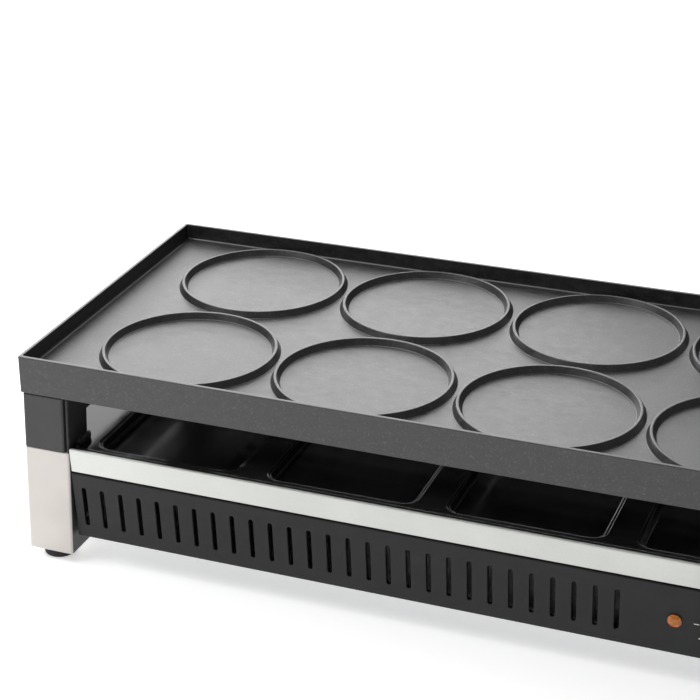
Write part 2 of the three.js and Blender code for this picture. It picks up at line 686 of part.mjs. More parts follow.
// An arch of strip over one run, with a foot each side on the bracket.
function elementClamp(x, y) {
  const inner = ELEMENT_RADIUS + GAP;
  const outer = inner + CLAMP_STRIP;
  const low = bracketTop + GAP - ELEMENT_Z;
  const high = low + CLAMP_STRIP;
  const shape = new THREE.Shape();
  shape.moveTo(outer + CLAMP_FOOT, low);
  shape.lineTo(outer + CLAMP_FOOT, high);
  shape.lineTo(outer, high);
  shape.absarc(0, 0, outer, 0, Math.PI);
  shape.lineTo(-outer, high);
  shape.lineTo(-outer - CLAMP_FOOT, high);
  shape.lineTo(-outer - CLAMP_FOOT, low);
  shape.lineTo(-inner, low);
  shape.absarc(0, 0, inner, Math.PI, 0, true);
  shape.lineTo(inner, low);
  const arch = prism(shape, -CLAMP_WIDTH / 2, CLAMP_WIDTH / 2, 8);
  arch.applyMatrix4(new THREE.Matrix4().makeBasis(BACKWARD, UPWARD, RIGHTWARD));
  return arch.translate(x, y, ELEMENT_Z);
}
for (const [end, x] of [["left", CLAMP_LEFT_X], ["right", CLAMP_RIGHT_X]])
  for (const [row, side] of [["front", -1], ["back", 1]]) {
    const clamp = elementClamp(x, (side * ELEMENT_RUN_Y) / 3);
    put("element_clamp_" + end + "_" + row, clamp, zincSteel);
  }

function terminalHousing() {
  const [x0, x1] = HOUSING_X;
  const [y, w] = [HOUSING_HALF_Y, HOUSING_WALL];
  const plan = roundedRectangle((x0 + x1) / 2, 0, x1 - x0, 2 * y, HOUSING_CORNER);
  const inside = box(x0 + w, x1 - w, -y + w, y - w, DECK_Z - PAST, HOUSING_TOP_Z - w);
  const holes = [-1, 1].map((side) => {
    const at = [ELEMENT_END_X + HOUSING_HOLE_SHIFT, side * ELEMENT_RUN_Y];
    const [low, high] = [HOUSING_TOP_Z - w - PAST, HOUSING_TOP_Z + PAST];
    return cylinder(...at, low, high, HOUSING_HOLE_RADIUS);
  });
  return carve([prism(plan, DECK_Z + GAP, HOUSING_TOP_Z)], [inside, ...holes]);
}
put("terminal_housing", terminalHousing(), darkPlastic);

// ---------------------------------------------------------------- control on the front panel
function controlDial() {
  const baseTop = DIAL_STANDOFF + DIAL_BASE_HEIGHT;
  const base = new THREE.CylinderGeometry(DIAL_RADIUS - 1, DIAL_RADIUS, DIAL_BASE_HEIGHT, 32);
  base.rotateX(Math.PI / 2).translate(0, 0, (DIAL_STANDOFF + baseTop) / 2);
  const plan = roundedRectangle(0, 0, GRIP_WIDTH, GRIP_LENGTH, GRIP_CORNER);
  const grip = prism(plan, baseTop - PAST, DIAL_STANDOFF + DIAL_HEIGHT);
  const bore = cylinder(0, 0, -PAST, SPINDLE_LENGTH[1] + GAP, SPINDLE_RADIUS + GAP);
  return ontoPanel(carve([base, grip], [bore]), CONTROL_X, -1);
}
put("control_dial", controlDial(), darkPlastic);
const spindle = cylinder(0, 0, ...SPINDLE_LENGTH, SPINDLE_RADIUS);
put("thermostat_spindle", ontoPanel(spindle, CONTROL_X, -1), zincSteel);
const thermostatBody = carve(
  [box(...THERMOSTAT_BOX)],
  [cylinder(0, 0, SPINDLE_LENGTH[0] - GAP, 0, SPINDLE_RADIUS + GAP)],
);
put("thermostat", ontoPanel(thermostatBody, CONTROL_X, -1), ceramic);

const lensProfile = [
  [0, -5],
  [LENS_RADIUS, -5],
  [LENS_RADIUS, GAP],
  [LENS_RADIUS + 1, GAP],
  [LENS_RADIUS + 1, 1],
  [LENS_RADIUS * 0.7, 1.9],
  [0, 2.2],
].map(([r, z]) => new THREE.Vector2(r, z));
const lens = new THREE.LatheGeometry(lensProfile, 16).rotateX(Math.PI / 2);
put("pilot_lens", ontoPanel(lens, LENS_X, -1), amberLens);

// ---------------------------------------------------------------- appliance inlet on the back panel
const PINS = [
  ["live", -PIN_SPACING, -PIN_STAGGER],
  ["neutral", PIN_SPACING, -PIN_STAGGER],
  ["earth", 0, PIN_STAGGER],
];

function pinBox(px, py, clearance, back, front) {
  const [x, y] = [PIN_HALF_WIDTH + clearance, PIN_HALF_HEIGHT + clearance];
  return box(px - x, px + x, py - y, py + y, back, front);
}

function applianceInlet() {
  const [x, y] = [INLET_WIDTH / 2, INLET_HEIGHT / 2];
  const [bezelX, bezelY] = [INLET_WIDTH + 2 * BEZEL_MARGIN, INLET_HEIGHT + 2 * BEZEL_MARGIN];
  const bezelPlan = roundedRectangle(0, 0, bezelX, bezelY, BEZEL_CORNER);
  const bezel = prism(bezelPlan, GAP, GAP + BEZEL_THICKNESS);
  const body = box(-x, x, -y, y, -INLET_DEPTH, PAST);
  const [inX, inY] = [x - INLET_WALL, y - INLET_WALL];
  const floor = -INLET_DEPTH + INLET_FLOOR;
  const socket = box(-inX, inX, -inY, inY, floor, BEZEL_THICKNESS + PAST);
  const pinHoles = PINS.map(([, px, py]) =>
    pinBox(px, py, GAP, -INLET_DEPTH - PAST, floor + PAST),
  );
  return carve([bezel, body], [socket, ...pinHoles]);
}
put("appliance_inlet", ontoPanel(applianceInlet(), CONTROL_X, 1), darkPlastic);
for (const [name, px, py] of PINS) {
  const pin = pinBox(px, py, 0, -INLET_DEPTH - PIN_TAIL, PIN_TIP);
  put("inlet_pin_" + name, ontoPanel(pin, CONTROL_X, 1), brass);
}

// ---------------------------------------------------------------- wiring
const trayTop = TRAY_Z + TRAY_SHEET + GAP;
const BLOCK_PLAN = [184, 216, -8, 8];
const BLOCK_HEIGHT = 12;
const CUTOUT_AT = [150, -40];
const CUTOUT_RADIUS = 8;
const CUTOUT_HEIGHT = 8;
put("terminal_block", box(...BLOCK_PLAN, trayTop, trayTop + BLOCK_HEIGHT), ceramic);
const cutout = cylinder(...CUTOUT_AT, trayTop, trayTop + CUTOUT_HEIGHT, CUTOUT_RADIUS, 20);
put("thermal_cutout", cutout, zincSteel);

const WIRE_RADIUS = 1.3;
const WIRES = [
  ["wire_live", "live", [[169, 87.2, 45], [176, 58, 38], [188, 26, 33], [190, 9.8, 30]]],
  ["wire_neutral", "neutral", [[183, 87.2, 45], [190, 58, 38], [199, 26, 33], [200, 9.8, 30]]],
  ["wire_earth", "earth", [[176, 87.2, 41], [176, 78, 34], [168, 68, 28], [160, 60, 23.8]]],
  ["wire_switched", "live", [[190, -9.8, 30], [190, -30, 34], [184, -60, 40], [182, -88, 40]]],
  ["wire_return", "load", [[170, -88, 40], [166, -60, 48], [200, -60, 56], [226, -76, 57.5]]],
  ["wire_load", "neutral", [[210, 9.8, 30], [212, 30, 36], [224, 60, 46], [228, 76, 57.5]]],
];
for (const [name, colour, route] of WIRES) {
  const curve = new THREE.CatmullRomCurve3(route.map((p) => new THREE.Vector3(...p)));
  put(name, rod(curve.getSpacedPoints(10), WIRE_RADIUS, 6), wireColours[colour]);
}

export default griddle;
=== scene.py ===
"""Looks of the table griddle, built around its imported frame.

Sizes are millimetres about the middle of the griddle plate, with z = 0 on the table; place() turns
them into the frame's metres.
"""

import json
import math

import bmesh
import bpy
from mathutils import Matrix, Vector


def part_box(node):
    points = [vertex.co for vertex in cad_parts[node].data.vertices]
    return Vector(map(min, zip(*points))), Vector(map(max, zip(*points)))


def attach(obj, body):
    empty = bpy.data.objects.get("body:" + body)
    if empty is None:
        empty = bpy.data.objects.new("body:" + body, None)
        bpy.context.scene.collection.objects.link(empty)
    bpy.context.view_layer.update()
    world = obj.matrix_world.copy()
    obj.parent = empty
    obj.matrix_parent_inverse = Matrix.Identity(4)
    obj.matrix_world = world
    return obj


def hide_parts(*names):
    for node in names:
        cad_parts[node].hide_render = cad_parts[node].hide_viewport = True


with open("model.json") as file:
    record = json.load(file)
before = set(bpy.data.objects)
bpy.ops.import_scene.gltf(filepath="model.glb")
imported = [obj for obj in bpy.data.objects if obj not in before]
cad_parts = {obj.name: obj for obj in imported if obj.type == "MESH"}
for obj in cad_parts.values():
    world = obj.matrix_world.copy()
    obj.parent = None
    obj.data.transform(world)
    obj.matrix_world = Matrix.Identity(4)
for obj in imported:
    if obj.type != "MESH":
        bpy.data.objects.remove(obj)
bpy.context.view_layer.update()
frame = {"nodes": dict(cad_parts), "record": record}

# ---------------------------------------------------------------- sizes, millimetres
MM = 0.001
PLATE_LOW, PLATE_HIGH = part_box("griddle_plate")
CENTRE_Y = (PLATE_LOW.y + PLATE_HIGH.y) / 2
HALF_LONG = (PLATE_HIGH.x - PLATE_LOW.x) / 2 / MM
HALF_DEEP = (PLATE_HIGH.y - PLATE_LOW.y) / 2 / MM
PLATE_TOP = PLATE_HIGH.z / MM
PLATE_BOTTOM = PLATE_LOW.z / MM
PLATE_FLOOR = PLATE_TOP - 10.1
PLATE_UNDERSIDE = PLATE_FLOOR - 3.2
PLATE_WALL = 2.4
PLATE_CORNER = 0.9
PLATE_INNER_CORNER = 1.2
RIM_DRAFT = 0.4
COVE = 1.3
MOULD_PITCH = 112.0
RING_RADIUS = 52.0
RING_HEIGHT = 4.0
RING_STEPS = 128
MARK_RADIUS = 4
MARK_DEPTH = 0.25
MARK_X = (-210, -105, 0, 105, 210)
MARK_Y = (-95, 95)

COLUMN_X = 236.1
COLUMN_Y = 102.9
COLUMN_HALF = (14.9, 12.5)
COLUMN_CORNER = 1.8
COLUMN_TOP = PLATE_BOTTOM - 0.3
COLUMN_SPLAY = 0.035
BLOCK_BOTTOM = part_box("corner_block_front_left")[0].z / MM
BLOCK_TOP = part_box("corner_block_front_left")[1].z / MM
LEG_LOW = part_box("leg_front_left")[0].z / MM
LEG_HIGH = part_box("leg_front_left")[1].z / MM
SPIGOT_CENTRE = (236.3, 102.8)
SPIGOT_HALF = (12.3, 9.8)
COLLAR_INNER = (219.7, 88.2)
COLLAR_OUTER = (240.0, 105.2)
COLLAR_TOP = 81.4
GROOVE_LIP = 0.95
GROOVE_EDGE = 4.6
GROOVE_RADIUS = 1.7
GROOVE_DEPTH = 2.6
# The dark skin on the legs' inner sides is painted shade for the shadowed gap between leg and panel.
SHADE_SKIN_THICKNESS = 0.25
SHADE_SKIN_MARGIN = 1.2
SHADE_SKIN_END = 0.6
FOOT_RADIUS = 10.0
FOOT_HEIGHT = 6.0

DECK_Z = 76.4
DECK_SHEET = 0.6
DECK_RIM_Z = DECK_Z + 2.6
DECK_HEM_Z = 70.0
DECK_HEM = 3.6
DECK_RIM_END = DECK_HEM + 2.6
DECK_SLOPE_END = DECK_RIM_END + 3.2
NOTCH = (221.3, 89.9)
BAY_HALF = 45.0
BAY_PITCH = 110.5
BAY_DEPTH = 6.3
BAY_CORNER = 8.0
BAY_LEDGE = 1.9
BAY_STEP = 0.7
BAY_MARGIN = 1.2
BAY_DRAFT = 1.2
BAY_FLOOR_EDGE = 5.0

SIDE_LEAN = math.radians(5)
RAIL_TOP = 79.8
RAIL_BOTTOM = 64.5
RAIL_THICKNESS = 2.4
LONG_OUTER = 115.9
END_OUTER = 251.4
RAIL_HALF_LONG = 221.8
PANEL_HALF_LONG = 222.4
HALF_END = 89.9
PANEL_TOP = 63.3
PANEL_BOTTOM = 18.0
PANEL_THICKNESS = 2.4
PANEL_FLANGE = 8.0
SLOT_HALF_WIDTH = 1.4
SLOT_TOP = 53.9
SLOT_BOTTOM = 27.0
SLOT_PITCH = 12.17
LONG_SLOTS = [-215.0 + i * SLOT_PITCH for i in range(28)]
END_SLOTS = [(i - 6.5) * SLOT_PITCH for i in range(14)]

ELEMENT_RADIUS = 3.6
ELEMENT_Z = 118.2
ELEMENT_RUN = 76.0
ELEMENT_LEFT = -190.0
ELEMENT_RIGHT = 176.0
ELEMENT_END = 228.0
ELEMENT_END_Z = 60.0
ELEMENT_BEND = 12.0
ELEMENT_HOLE = 6

CONTROL_X = 176.0
CONTROL_Z = 41.0
DIAL_RADIUS = 15.0
DIAL_BASE = 6.0
DIAL_TOP = 14.5
LENS_X = 146.0
LENS_RADIUS = 3.0
INLET_HALF = (13.8, 10.3)
SPINDLE_HOLE = 3.6
LENS_HOLE = 3.3
GRIP_HALF = (3.9, 13.2)
POINTER_HALF = (0.55, 3.2)

CAMERA_YAW = 0.368862
CAMERA_PITCH = 0.434131
CAMERA_ROLL = -0.005714
CAMERA_LENS = 100.52
CAMERA_PLACE = (307.656, -1019.305, 623.589)

CORNERS = {
    "front_left": (-1, -1),
    "front_right": (1, -1),
    "back_left": (-1, 1),
    "back_right": (1, 1),
}


def place(x, y, z):
    """A point in millimetres about the plate's middle, in the frame's metres."""
    return Vector((x * MM, y * MM + CENTRE_Y, z * MM))


# ---------------------------------------------------------------- materials
def shader(name, color, roughness, metallic=0.0, ior=1.5, coat=0.0, coat_roughness=0.05):
    material = bpy.data.materials.new(name)
    material.use_nodes = True
    nodes = material.node_tree.nodes
    principled = nodes["Principled BSDF"]
    principled.inputs["Base Color"].default_value = (*color, 1)
    principled.inputs["Roughness"].default_value = roughness
    principled.inputs["Metallic"].default_value = metallic
    principled.inputs["IOR"].default_value = ior
    principled.inputs["Coat Weight"].default_value = coat
    principled.inputs["Coat Roughness"].default_value = coat_roughness
    return material, principled


def new_node(material, kind, **values):
    node = material.node_tree.nodes.new(kind)
    for key, value in values.items():
        if key in node.inputs:
            node.inputs[key].default_value = value
        else:
            setattr(node, key, value)
    return node


def link(material, source, target):
    material.node_tree.links.new(source, target)


def coordinates(material, stretch=(1, 1, 1)):
    """The piece's own coordinates in millimetres, stretched along an axis where that is asked for."""
    source = new_node(material, "ShaderNodeTexCoord")
    mapping = new_node(material, "ShaderNodeMapping")
    mapping.inputs["Scale"].default_value = [s / MM for s in stretch]
    link(material, source.outputs["Object"], mapping.inputs["Vector"])
    return mapping.outputs["Vector"]


def noise(material, vector, grain, detail=3.0, rough=0.55):
    """A noise whose patches are about grain millimetres across."""
    node = new_node(material, "ShaderNodeTexNoise", Scale=1 / grain, Detail=detail, Roughness=rough)
    link(material, vector, node.inputs["Vector"])
    return node.outputs["Fac"]


def spread(material, factor, low, high, from_low=0.3, from_high=0.7):
    node = new_node(material, "ShaderNodeMapRange")
    node.inputs["From Min"].default_value = from_low
    node.inputs["From Max"].default_value = from_high
    node.inputs["To Min"].default_value = low
    node.inputs["To Max"].default_value = high
    link(material, factor, node.inputs["Value"])
    return node.outputs["Result"]


def blend_colors(material, factor, first, second, low=0.35, high=0.65):
    ramp = new_node(material, "ShaderNodeValToRGB")
    ramp.color_ramp.elements[0].position = low
    ramp.color_ramp.elements[0].color = (*first, 1)
    ramp.color_ramp.elements[1].position = high
    ramp.color_ramp.elements[1].color = (*second, 1)
    link(material, factor, ramp.inputs["Fac"])
    return ramp.outputs["Color"]


def bump(material, principled, height, depth, before=None):
    """Raises the surface by up to depth millimetres where height is 1."""
    node = new_node(material, "ShaderNodeBump", Strength=1.0, Distance=depth * MM)
    link(material, height, node.inputs["Height"])
    if before:
        link(material, before, node.inputs["Normal"])
    link(material, node.outputs["Normal"], principled.inputs["Normal"])
    return node.outputs["Normal"]


def cast_coating():
    """Non-stick coating on cast aluminium: dark grey, fine mottled, with small paler flecks."""
    material, principled = shader("cast_coating", (0.013, 0.013, 0.013), 0.4, ior=1.7)
    where = coordinates(material)
    mottle = noise(material, coordinates(material, (0.6, 1, 1)), 5.0, 3.0, 0.7)
    grit = noise(material, where, 0.7, 2.0)
    flecks = noise(material, where, 1.3, 1.0)
    base = blend_colors(material, mottle, (0.004, 0.004, 0.0041), (0.019, 0.019, 0.0195))
    lighter = new_node(material, "ShaderNodeMix", data_type="RGBA")
    link(material, spread(material, flecks, 0.0, 0.45, 0.60, 0.74), lighter.inputs["Factor"])
    link(material, base, lighter.inputs["A"])
    lighter.inputs["B"].default_value = (0.09, 0.09, 0.09, 1)
    link(material, lighter.outputs["Result"], principled.inputs["Base Color"])
    link(material, spread(material, mottle, 0.35, 0.45), principled.inputs["Roughness"])
    coarse = bump(material, principled, mottle, 0.05)
    bump(material, principled, grit, 0.022, coarse)
    return material


def black_enamel():
    """Glossy black enamel with a faint orange peel."""
    material, principled = shader("black_enamel", (0.016, 0.016, 0.0165), 0.12, ior=1.31)
    where = coordinates(material)
    peel = noise(material, where, 4.0, 2.0)
    cloud = noise(material, where, 22.0, 3.0)
    link(material, spread(material, cloud, 0.09, 0.15), principled.inputs["Roughness"])
    tone = blend_colors(material, cloud, (0.014, 0.014, 0.0142), (0.020, 0.020, 0.0205))
    link(material, tone, principled.inputs["Base Color"])
    bump(material, principled, peel, 0.004)
    return material


def silver(name, low, high, roughness, metallic):
    """Metallic paint: tiny flakes, and a soft change of tone over the length."""
    material, principled = shader(name, high, roughness, metallic=metallic)
    where = coordinates(material)
    flakes = noise(material, where, 0.25, 1.0)
    cloud = noise(material, where, 40.0, 2.0)
    link(material, blend_colors(material, cloud, low, high), principled.inputs["Base Color"])
    rough = spread(material, flakes, roughness - 0.05, roughness + 0.07)
    link(material, rough, principled.inputs["Roughness"])
    bump(material, principled, flakes, 0.004)
    return material


def moulded_plastic(name, low, high, roughness, grain, depth, ior=1.5):
    """Moulded plastic with a fine spark-eroded grain."""
    material, principled = shader(name, high, roughness, ior=ior)
    where = coordinates(material)
    texture = noise(material, where, grain, 2.0)
    cloud = noise(material, where, 15.0, 3.0)
    link(material, blend_colors(material, cloud, low, high), principled.inputs["Base Color"])
    rough = spread(material, texture, roughness - 0.06, roughness + 0.08)
    link(material, rough, principled.inputs["Roughness"])
    bump(material, principled, texture, depth)
    return material


def metal(name, low, high, roughness, patch, stretch=(1, 1, 1)):
    """Bare or plated metal, with patches of tone and fine drawn lines."""
    material, principled = shader(name, high, roughness, metallic=1.0)
    where = coordinates(material)
    cloud = noise(material, where, patch, 4.0)
    lines = noise(material, coordinates(material, stretch), 0.5, 2.0)
    link(material, blend_colors(material, cloud, low, high), principled.inputs["Base Color"])
    rough = spread(material, lines, roughness - 0.08, roughness + 0.1)
    link(material, rough, principled.inputs["Roughness"])
    bump(material, principled, lines, 0.006)
    return material


def amber():
    """Clear amber plastic with a little haze."""
    material, principled = shader("amber_lens", (0.85, 0.26, 0.04), 0.12, ior=1.49)
    principled.inputs["Transmission Weight"].default_value = 0.45
    haze = noise(material, coordinates(material), 1.5, 2.0)
    link(material, spread(material, haze, 0.08, 0.2), principled.inputs["Roughness"])
    tone = blend_colors(material, haze, (0.75, 0.2, 0.03), (0.9, 0.32, 0.05))
    link(material, tone, principled.inputs["Base Color"])
    return material


LOOKS = {
    "cast_coating": cast_coating(),
    "black_enamel": black_enamel(),
    "silver_strip": silver("silver_strip", (0.67, 0.685, 0.65), (0.71, 0.725, 0.69), 0.32, 0.35),
    "silver_paint": silver("silver_paint", (0.60, 0.56, 0.53), (0.645, 0.605, 0.575), 0.36, 0.3),
    "dark_plastic": moulded_plastic(
        "dark_plastic", (0.030, 0.030, 0.031), (0.037, 0.037, 0.038), 0.42, 0.5, 0.012
    ),
    # vent_plastic is the blocks' dark plastic with a darker base colour. The extra darkness is painted
    # shade for the leaning panels, which sit in shadow below the rail.
    "vent_plastic": moulded_plastic(
        "vent_plastic", (0.007, 0.007, 0.0072), (0.011, 0.011, 0.0112), 0.45, 0.4, 0.012, 1.4
    ),
    "rubber": moulded_plastic("rubber", (0.012, 0.012, 0.012), (0.02, 0.02, 0.02), 0.75, 0.8, 0.03),
    "sheet_steel": metal("sheet_steel", (0.50, 0.51, 0.52), (0.63, 0.64, 0.65), 0.38, 9.0),
    "element_steel": metal("element_steel", (0.15, 0.13, 0.12), (0.27, 0.25, 0.25), 0.42, 14.0),
    "zinc_steel": metal("zinc_steel", (0.60, 0.61, 0.63), (0.70, 0.71, 0.71), 0.3, 8.0, (0.1, 1, 1)),
    "brass": metal("brass", (0.62, 0.47, 0.21), (0.72, 0.57, 0.28), 0.28, 5.0, (1, 0.1, 1)),
    "ceramic": moulded_plastic("ceramic", (0.74, 0.72, 0.66), (0.82, 0.80, 0.75), 0.6, 0.7, 0.02),
    "amber_lens": amber(),
    "wire_brown": moulded_plastic("wire_brown", (0.14, 0.05, 0.02), (0.18, 0.07, 0.03), 0.4, 0.6, 0.01),
    "wire_blue": moulded_plastic("wire_blue", (0.02, 0.08, 0.32), (0.03, 0.1, 0.38), 0.4, 0.6, 0.01),
    "wire_green": moulded_plastic("wire_green", (0.06, 0.25, 0.04), (0.55, 0.55, 0.05), 0.4, 0.6, 0.01),
    "wire_black": moulded_plastic("wire_black", (0.01, 0.01, 0.01), (0.02, 0.02, 0.02), 0.4, 0.6, 0.01),
    "print_white": moulded_plastic("print_white", (0.68, 0.68, 0.66), (0.76, 0.76, 0.74), 0.5, 0.5, 0.004),
}


# ---------------------------------------------------------------- outlines
def rounded(points, radii, steps=5, closed=False):
    """A flat line of points with arcs of the given radii at its corners."""
    made = []
    for i, (point, radius) in enumerate(zip(points, radii)):
        here = Vector(point)
        if radius == 0 or (not closed and i in (0, len(points) - 1)):
            made.append(here)
            continue
        back = (Vector(points[i - 1]) - here).normalized()
        ahead = (Vector(points[(i + 1) % len(points)]) - here).normalized()
        half = back.angle(ahead) / 2
        centre = here + (back + ahead).normalized() * radius / math.sin(half)
        start = here + back * radius / math.tan(half) - centre
        turn = math.pi - 2 * half
        if start.cross(here + ahead * radius / math.tan(half) - centre) < 0:
            turn = -turn
        for s in range(steps + 1):
            made.append(centre + Matrix.Rotation(turn * s / steps, 2) @ start)
    return made


def quarter_round(radius, steps=3):
    """(distance inward, distance along) of a rounded edge, from the end face to the side."""
    for s in range(steps + 1):
        angle = math.pi / 2 * s / steps
        yield radius * (1 - math.sin(angle)), radius * (1 - math.cos(angle))


def rectangle(half_x, half_y, radius, z, centre=(0, 0), steps=6):
    """The points of a rounded rectangle, counterclockwise."""
    points = []
    for k, (sx, sy) in enumerate(((1, 1), (-1, 1), (-1, -1), (1, -1))):
        for s in range(steps + 1):
            angle = math.pi / 2 * (k + s / steps)
            x = centre[0] + sx * (half_x - radius) + radius * math.cos(angle)
            y = centre[1] + sy * (half_y - radius) + radius * math.sin(angle)
            points.append((x, y, z))
    return points


def circle(radius, z, centre=(0, 0), steps=48):
    turns = [2 * math.pi * i / steps for i in range(steps)]
    return [(centre[0] + radius * math.cos(a), centre[1] + radius * math.sin(a), z) for a in turns]


def inset(outline, distance):
    """A closed flat outline, counterclockwise, moved inward by a small distance."""
    moved = []
    for i, here in enumerate(outline):
        first = (here - outline[i - 1]).normalized()
        second = (outline[(i + 1) % len(outline)] - here).normalized()
        inward = Vector((-first.y - second.y, first.x + second.x)).normalized()
        lean = max(inward.dot(Vector((-first.y, first.x))), 0.5)
        moved.append(here + inward * distance / lean)
    return moved


# ---------------------------------------------------------------- meshes
class Skin:
    """A mesh under construction, in millimetres."""

    def __init__(self):
        self.bm = bmesh.new()

    def loop(self, points):
        return [self.bm.verts.new(p) for p in points]

    def band(self, first, second, closed=True):
        for i in range(len(first) if closed else len(first) - 1):
            j = (i + 1) % len(first)
            self.bm.faces.new((first[i], first[j], second[j], second[i]))

    def stack(self, outlines, cap_start=True, cap_end=True):
        """Joins outlines that have the same number of points, and returns the first and last loop."""
        loops = [self.loop(points) for points in outlines]
        for first, second in zip(loops, loops[1:]):
            self.band(first, second)
        if cap_start:
            self.bm.faces.new(loops[0])
        if cap_end:
            self.bm.faces.new(loops[-1])
        return loops[0], loops[-1]

    def fill(self, loops, normal=(0, 0, 1)):
        """Fills the flat region inside the first loop and outside the others."""
        edges = []
        for loop in loops:
            for a, b in zip(loop, loop[1:] + loop[:1]):
                edges.append(self.bm.edges.get((a, b)) or self.bm.edges.new((a, b)))
        bmesh.ops.triangle_fill(self.bm, use_beauty=True, edges=edges, normal=normal)

    def make(self, name, look, mapping=None, sharp=32):
        """Turns it into an object, its points put in the frame by mapping, or by place()."""
        bmesh.ops.remove_doubles(self.bm, verts=self.bm.verts, dist=1e-4)
        for vertex in self.bm.verts:
            vertex.co = mapping(*vertex.co) if mapping else place(*vertex.co)
        bmesh.ops.recalc_face_normals(self.bm, faces=self.bm.faces)
        mesh = bpy.data.meshes.new(name)
        self.bm.to_mesh(mesh)
        self.bm.free()
        mesh.shade_smooth()
        mesh.set_sharp_from_angle(angle=math.radians(sharp))
        mesh.materials.append(LOOKS[look])
        piece = bpy.data.objects.new(name, mesh)
        bpy.context.scene.collection.objects.link(piece)
        return piece


def settle(piece, body, slot, *nodes):
    """Hangs a piece on its body, in place of the CAD nodes named."""
    normals = piece.modifiers.new("normals", "WEIGHTED_NORMAL")
    normals.keep_sharp = True
    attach(piece, body)
    if nodes:
        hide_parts(*nodes)
    return piece


def apply_modifiers(piece, sharp=32):
    """Makes the modifiers' result the piece's own mesh, and marks its sharp edges again."""
    graph = bpy.context.evaluated_depsgraph_get()
    mesh = bpy.data.meshes.new_from_object(piece.evaluated_get(graph))
    piece.modifiers.clear()
    piece.data = mesh
    mesh.shade_smooth()
    mesh.set_sharp_from_angle(angle=math.radians(sharp))


def join(piece, tool, operation="UNION"):
    """Joins a second piece to the first one, as one closed body, or cuts it away."""
    modifier = piece.modifiers.new("join", "BOOLEAN")
    modifier.operation = operation
    modifier.solver = "EXACT"
    modifier.object = tool
    apply_modifiers(piece)
    bpy.data.objects.remove(tool)


# ---------------------------------------------------------------- griddle plate
def plate_profile():
    """(distance in from the outer face, height), from the underside round the rim to the floor."""
    foot = PLATE_WALL + RIM_DRAFT
    points = [
        (PLATE_WALL + 3.0, PLATE_UNDERSIDE),
        (PLATE_WALL, PLATE_UNDERSIDE),
        (PLATE_WALL, PLATE_BOTTOM),
        (0, PLATE_BOTTOM),
        (0, PLATE_TOP),
        (PLATE_WALL - 0.1, PLATE_TOP),
        (foot, PLATE_FLOOR),
        (foot + COVE + 0.3, PLATE_FLOOR),
    ]
    return rounded(points, [0, 2.0, 0.5, 0.6, 0.6, 0.45, COVE, 0], steps=6)


def ring_profile():
    """(distance from the ring's middle, height) across one mould ring, outer foot to inner foot."""
    foot = 2.75
    crest = 0.75
    points = [(3.1, 0), (foot, 0), (crest, RING_HEIGHT), (-crest, RING_HEIGHT), (-foot, 0), (-3.1, 0)]
    return rounded(points, [0, 0.5, 0.65, 0.65, 0.5, 0], steps=5)


def griddle_plate():
    """The cast plate: skirt, rim, eight mould rings, and shallow round marks underneath."""
    skin = Skin()
    outlines = []
    for p in plate_profile():
        corner = max(PLATE_CORNER - p.x, PLATE_INNER_CORNER)
        outlines.append(rectangle(HALF_LONG - p.x, HALF_DEEP - p.x, corner, p.y))
    under, floor = skin.stack(outlines, cap_start=False, cap_end=False)
    holes = []
    for i in (-1.5, -0.5, 0.5, 1.5):
        for j in (-0.5, 0.5):
            centre = (i * MOULD_PITCH, j * MOULD_PITCH)
            rings = [
                circle(RING_RADIUS + p.x, PLATE_FLOOR + p.y, centre, RING_STEPS)
                for p in ring_profile()
            ]
            outer, _ = skin.stack(rings, cap_start=False)
            holes.append(outer)
    skin.fill([floor, *holes])
    marks = []
    for x in MARK_X:
        for y in MARK_Y:
            heights = (PLATE_UNDERSIDE, PLATE_UNDERSIDE + MARK_DEPTH)
            mark, _ = skin.stack([circle(MARK_RADIUS, z, (x, y), 32) for z in heights], cap_start=False)
            marks.append(mark)
    skin.fill([under, *marks])
    settle(skin.make("plate_casting", "cast_coating"), "griddle", "cast_coating", "griddle_plate")


# ---------------------------------------------------------------- columns
def column_outlines(sx, sy, half, profile, centre=(COLUMN_X, COLUMN_Y), corner=COLUMN_CORNER):
    """Loops of a column that leans outward; profile is (distance in from its sides, height)."""
    outlines = []
    for inward, z in profile:
        x = sx * (centre[0] + COLUMN_SPLAY * (COLUMN_TOP - z))
        radius = max(corner - inward, 0.3)
        outlines.append(
            rectangle(half[0] - inward, half[1] - inward, radius, z, (x, sy * centre[1]))
        )
    return outlines


def rounded_ends(low, high, low_radius, high_radius):
    """(distance in, height) of a bar from low to high with both ends rounded."""
    start = [(inward, low + along) for inward, along in quarter_round(low_radius)]
    end = [(inward, high - along) for inward, along in quarter_round(high_radius)]
    return start + end[::-1]


def block_groove(corner, sx, sy):
    """The cutter for the groove that parts a block's outer face from its inner cheek."""
    front = COLUMN_HALF[1]
    lip = GROOVE_LIP - COLUMN_HALF[0]
    edge = GROOVE_EDGE - COLUMN_HALF[0]
    bottom = front - GROOVE_DEPTH
    section = [(edge, front + 1), (lip, front + 1), (lip, bottom), (edge - GROOVE_RADIUS - 0.2, bottom)]
    steps = 5
    for s in range(steps + 1):
        angle = math.pi - math.pi / 2 * s / steps
        x = edge + GROOVE_RADIUS * math.cos(angle)
        y = front - GROOVE_RADIUS + GROOVE_RADIUS * math.sin(angle)
        section.append((x, y))
    outlines = []
    for z in (BLOCK_BOTTOM - 1, COLUMN_TOP + 0.4):
        x = COLUMN_X + COLUMN_SPLAY * (COLUMN_TOP - z)
        outlines.append([(sx * (x + u), sy * (COLUMN_Y + v), z) for u, v in section])
    skin = Skin()
    skin.stack(outlines)
    return skin.make("groove_" + corner, "dark_plastic")


